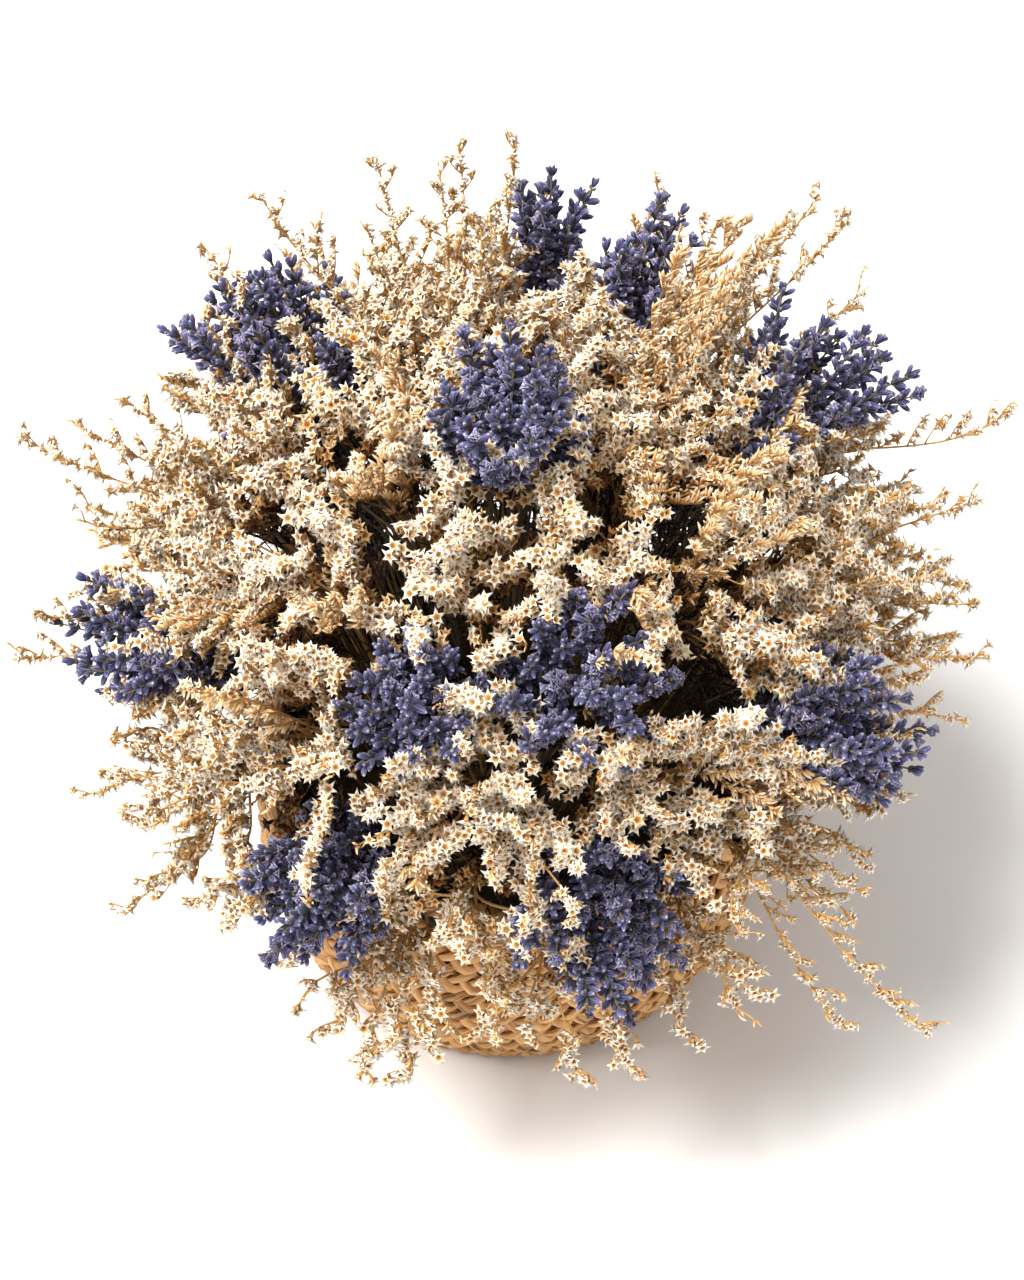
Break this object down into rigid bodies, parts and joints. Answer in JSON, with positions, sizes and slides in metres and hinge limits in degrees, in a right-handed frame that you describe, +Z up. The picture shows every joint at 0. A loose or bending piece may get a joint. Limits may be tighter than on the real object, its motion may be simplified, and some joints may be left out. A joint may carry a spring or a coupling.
{
  "type": "dried lavender and statice arrangement in a basket",
  "caption": "Round woven basket filled with dry foam and a ball-shaped mass of dried lavender bunches and cream statice sprays; stands on its flat base.",
  "frame": {"origin": "middle of the basket's base, on the surface it stands on", "axes": "+Z up through the middle of the basket; -Y faces the side with the lavender bunches that lean over the rim"},
  "size_m": [0.3865, 0.3904, 0.3654],
  "materials": {
    "seagrass": "dry braided grass, matt with a faint sheen",
    "foam": "matt crumbly dry foam",
    "statice": "matt papery dried flower",
    "lavender": "matt dusty dried flower"
  },
  "bodies": {
    "root": {"basket_base": "seagrass", "basket_rim": "seagrass", "basket_wall": "seagrass", "foam_block": "foam", "lavender_bunch_01": "lavender", "lavender_bunch_02": "lavender", "lavender_bunch_03": "lavender", "lavender_bunch_04": "lavender", "lavender_bunch_05": "lavender", "lavender_bunch_06": "lavender", "lavender_bunch_07": "lavender", "lavender_bunch_08": "lavender", "lavender_bunch_09": "lavender", "lavender_bunch_10": "lavender", "lavender_bunch_11": "lavender", "lavender_bunch_12": "lavender", "lavender_bunch_13": "lavender", "statice_spray_01": "statice", "statice_spray_02": "statice", "statice_spray_03": "statice", "statice_spray_04": "statice", "statice_spray_05": "statice", "statice_spray_06": "statice", "statice_spray_07": "statice", "statice_spray_08": "statice", "statice_spray_09": "statice", "statice_spray_10": "statice", "statice_spray_11": "statice", "statice_spray_12": "statice", "statice_spray_13": "statice", "statice_spray_14": "statice", "statice_spray_15": "statice", "statice_spray_16": "statice", "statice_spray_17": "statice", "statice_spray_18": "statice", "statice_spray_19": "statice", "statice_spray_20": "statice", "statice_spray_21": "statice", "statice_spray_22": "statice", "statice_spray_23": "statice", "statice_spray_24": "statice", "statice_spray_25": "statice", "statice_spray_26": "statice", "statice_spray_27": "statice", "statice_spray_28": "statice", "statice_spray_29": "statice", "statice_spray_30": "statice", "statice_spray_31": "statice", "statice_spray_32": "statice", "statice_spray_33": "statice", "statice_spray_34": "statice", "statice_spray_35": "statice", "statice_spray_36": "statice", "statice_spray_37": "statice", "statice_spray_38": "statice", "statice_spray_39": "statice", "statice_spray_40": "statice", "statice_spray_41": "statice"}
  },
  "joints": []
}
